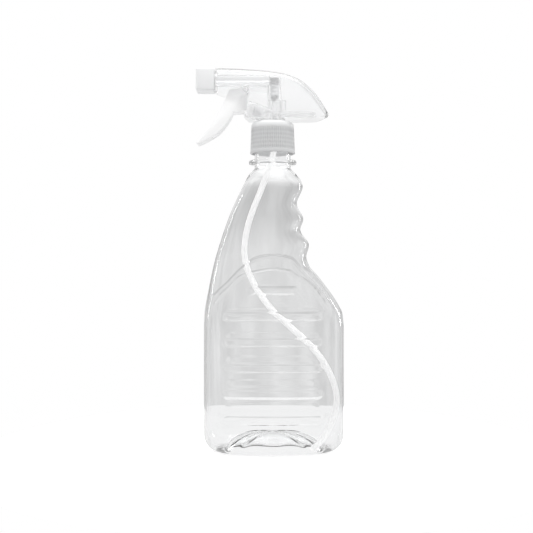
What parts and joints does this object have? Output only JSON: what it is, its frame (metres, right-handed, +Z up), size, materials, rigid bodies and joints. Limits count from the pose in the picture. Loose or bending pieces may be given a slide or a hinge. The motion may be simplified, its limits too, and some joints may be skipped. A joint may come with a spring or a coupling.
{
  "type": "trigger spray bottle",
  "caption": "Clear plastic spray bottle with a finger-grip neck, grooved front, dip tube and hand-pump trigger sprayer with a square nozzle.",
  "frame": {"origin": "centre of the bounding box, on the surface that the bottle stands on", "axes": "+Z up along the neck, +X away from the nozzle, +Y along the bottle's thin direction"},
  "size_m": [0.1028, 0.06, 0.266],
  "materials": {
    "clear_pet": "clear, glossy, blow-moulded",
    "collar_plastic": "translucent, semi-gloss, finely ribbed",
    "soft_seal": "soft, matt",
    "clear_moulding": "translucent, semi-gloss",
    "shroud_plastic": "clear, glossy",
    "trigger_plastic": "translucent white, semi-gloss",
    "white_moulding": "white, semi-matt",
    "spring_steel": "bright drawn wire",
    "ball_steel": "polished",
    "tube_plastic": "milky white, smooth",
    "dark_moulding": "dark grey, semi-matt",
    "nozzle_plastic": "translucent grey-white, semi-gloss"
  },
  "bodies": {
    "bottle": {"bottle": "clear_pet"},
    "sprayer": {"sprayer_body": "clear_moulding", "shroud": "shroud_plastic", "neck_gasket": "soft_seal", "tube_holder": "white_moulding", "dip_tube": "tube_plastic", "chimney_plug": "dark_moulding", "spinner": "white_moulding", "trigger_pin": "clear_moulding", "outlet_spring": "spring_steel", "return_spring": "spring_steel"},
    "collar": {"closure_collar": "collar_plastic"},
    "trigger": {"trigger": "trigger_plastic"},
    "piston": {"piston": "white_moulding", "piston_seal": "soft_seal"},
    "nozzle": {"nozzle": "nozzle_plastic", "nozzle_seal": "soft_seal", "orifice_cup": "white_moulding"},
    "inlet_ball": {"inlet_ball": "ball_steel"},
    "outlet_valve": {"outlet_valve": "dark_moulding"}
  },
  "joints": [
    {"name": "sprayer_lift", "type": "slide", "parent": "bottle", "child": "sprayer", "axis": [0, 0, 1], "range_m": [0, 0.00635]},
    {"name": "collar_turn", "type": "hinge", "parent": "sprayer", "child": "collar", "pos_m": [0.00195, 0, 0.2176], "axis": [0, 0, 1], "range_deg": [0, 540]},
    {"name": "trigger_pull", "type": "hinge", "parent": "sprayer", "child": "trigger", "pos_m": [-0.01725, 0, 0.25058], "axis": [0, -1, 0], "range_deg": [0, 30], "stiffness_Nm_per_rad": 0.25, "springref_deg": -11.46},
    {"name": "piston_slide", "type": "slide", "parent": "sprayer", "child": "piston", "axis": [0.9511, 0, -0.309], "range_m": [0, 0.006], "deforming": ["return_spring"]},
    {"name": "nozzle_turn", "type": "hinge", "parent": "sprayer", "child": "nozzle", "pos_m": [-0.04475, 0, 0.2578], "axis": [-1, 0, 0], "continuous": true},
    {"name": "inlet_ball_lift", "type": "slide", "parent": "sprayer", "child": "inlet_ball", "axis": [0, 0, 1], "range_m": [0, 0.001]},
    {"name": "outlet_valve_lift", "type": "slide", "parent": "sprayer", "child": "outlet_valve", "axis": [0, 0, 1], "range_m": [0, 0.001], "stiffness_N_per_m": 60, "deforming": ["outlet_spring"]}
  ],
  "couplings": [
    {"joint": "collar_turn", "follows": "sprayer_lift", "rad_per_m": 1484.2},
    {"joint": "piston_slide", "follows": "trigger_pull", "m_per_rad": 0.011459}
  ]
}
